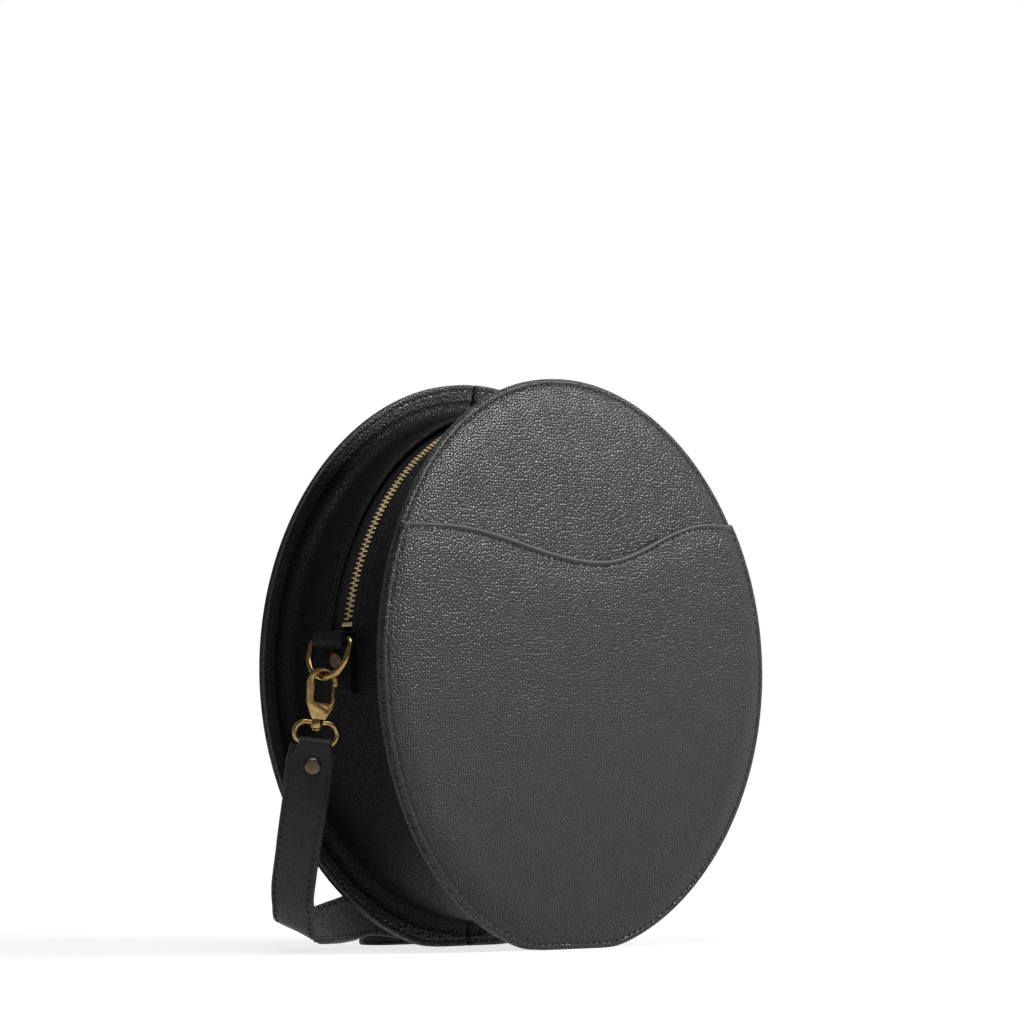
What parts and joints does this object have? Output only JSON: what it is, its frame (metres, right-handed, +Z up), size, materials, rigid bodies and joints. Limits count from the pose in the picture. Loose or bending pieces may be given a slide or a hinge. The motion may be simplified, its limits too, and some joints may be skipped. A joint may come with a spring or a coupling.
{
  "type": "round crossbody bag",
  "caption": "Round leather crossbody bag with a zip over its top half, a wavy front slip pocket and a buckled shoulder strap on swivel hooks.",
  "frame": {"origin": "under the middle of the bag, on the surface that it stands on", "axes": "+X is the bag's left-to-right seen from its front, +Y is towards its back, +Z is up"},
  "size_m": [0.269, 0.1459, 0.2472],
  "materials": {
    "leather": "pebbled, satin",
    "cloth": "woven",
    "board": "matte",
    "bronze": "antiqued",
    "brass": "antiqued"
  },
  "bodies": {
    "bag": {"front_panel": "leather", "front_pocket": "leather", "front_flange_left": "leather", "front_flange_right": "leather", "back_panel": "leather", "back_flange_left": "leather", "back_flange_right": "leather", "gusset_base": "leather", "gusset_front_strip": "leather", "gusset_back_strip": "leather", "zip_tape_front": "cloth", "zip_tape_back": "cloth", "zip_teeth_front": "brass", "zip_teeth_back": "brass", "zip_stops": "brass", "front_board": "board", "back_board": "board", "lining_front": "cloth", "lining_back": "cloth", "lining_gusset": "cloth", "tab_left": "leather", "tab_right": "leather", "tab_rivet_left": "bronze", "tab_rivet_right": "bronze", "strap_long": "leather", "strap_short": "leather", "buckle_frame": "brass", "strap_keeper": "leather"},
    "zip_slider": {"slider_body": "brass"},
    "zip_pull": {"slider_pull": "brass"},
    "ring_left": {"d_ring_left": "brass"},
    "ring_right": {"d_ring_right": "brass"},
    "clip_left": {"eye_left": "brass", "strap_rivet_left": "bronze"},
    "clip_right": {"eye_right": "brass", "strap_rivet_right": "bronze"},
    "hook_left": {"hook_left": "brass", "gate_pin_left": "brass"},
    "hook_right": {"hook_right": "brass", "gate_pin_right": "brass"},
    "gate_left": {"gate_left": "brass"},
    "gate_right": {"gate_right": "brass"},
    "buckle_prong": {"buckle_prong": "brass"}
  },
  "joints": [
    {"name": "zip_travel", "type": "hinge", "parent": "bag", "child": "zip_slider", "pos_m": [0, 0, 0.1222], "axis": [0, -1, 0], "range_deg": [0, 148]},
    {"name": "pull_swing", "type": "hinge", "parent": "zip_slider", "child": "zip_pull", "pos_m": [0.10652, 0, 0.15992], "axis": [0, -1, 0], "range_deg": [0, 130]},
    {"name": "ring_left_swing", "type": "hinge", "parent": "bag", "child": "ring_left", "pos_m": [-0.1179, 0, 0.132], "axis": [0, 1, 0], "range_deg": [0, 35]},
    {"name": "clip_left_swing", "type": "hinge", "parent": "bag", "child": "clip_left", "pos_m": [-0.1179, 0, 0.132], "axis": [0, 1, 0], "range_deg": [0, 35], "deforming": ["strap_long"]},
    {"name": "hook_left_turn", "type": "hinge", "parent": "clip_left", "child": "hook_left", "pos_m": [-0.12324, 0.00034, 0.11853], "axis": [0.0695, -0.078, 0.9945], "range_deg": [0, 70]},
    {"name": "gate_left_open", "type": "hinge", "parent": "hook_left", "child": "gate_left", "pos_m": [-0.12106, -0.00072, 0.1026], "axis": [-0.5744, -0.8182, -0.024], "range_deg": [0, 25], "stiffness_Nm_per_rad": 0.0003, "springref_deg": -20.05},
    {"name": "ring_right_swing", "type": "hinge", "parent": "bag", "child": "ring_right", "pos_m": [0.1179, 0, 0.132], "axis": [0, -1, 0], "range_deg": [0, 35]},
    {"name": "clip_right_swing", "type": "hinge", "parent": "bag", "child": "clip_right", "pos_m": [0.1179, 0, 0.132], "axis": [0, -1, 0], "range_deg": [0, 35], "deforming": ["strap_short"]},
    {"name": "hook_right_turn", "type": "hinge", "parent": "clip_right", "child": "hook_right", "pos_m": [0.12324, 0.00034, 0.11853], "axis": [0.0695, 0.078, -0.9945], "range_deg": [0, 70]},
    {"name": "gate_right_open", "type": "hinge", "parent": "hook_right", "child": "gate_right", "pos_m": [0.12106, -0.00072, 0.1026], "axis": [-0.5744, 0.8182, 0.024], "range_deg": [0, 25], "stiffness_Nm_per_rad": 0.0003, "springref_deg": -20.05},
    {"name": "prong_lift", "type": "hinge", "parent": "bag", "child": "buckle_prong", "pos_m": [0.04675, 0.102, 0.01325], "axis": [0, 0, -1], "range_deg": [0, 45]}
  ],
  "couplings": [
    {"joint": "ring_left_swing", "follows": "clip_left_swing", "ratio": 1},
    {"joint": "ring_right_swing", "follows": "clip_right_swing", "ratio": 1}
  ]
}
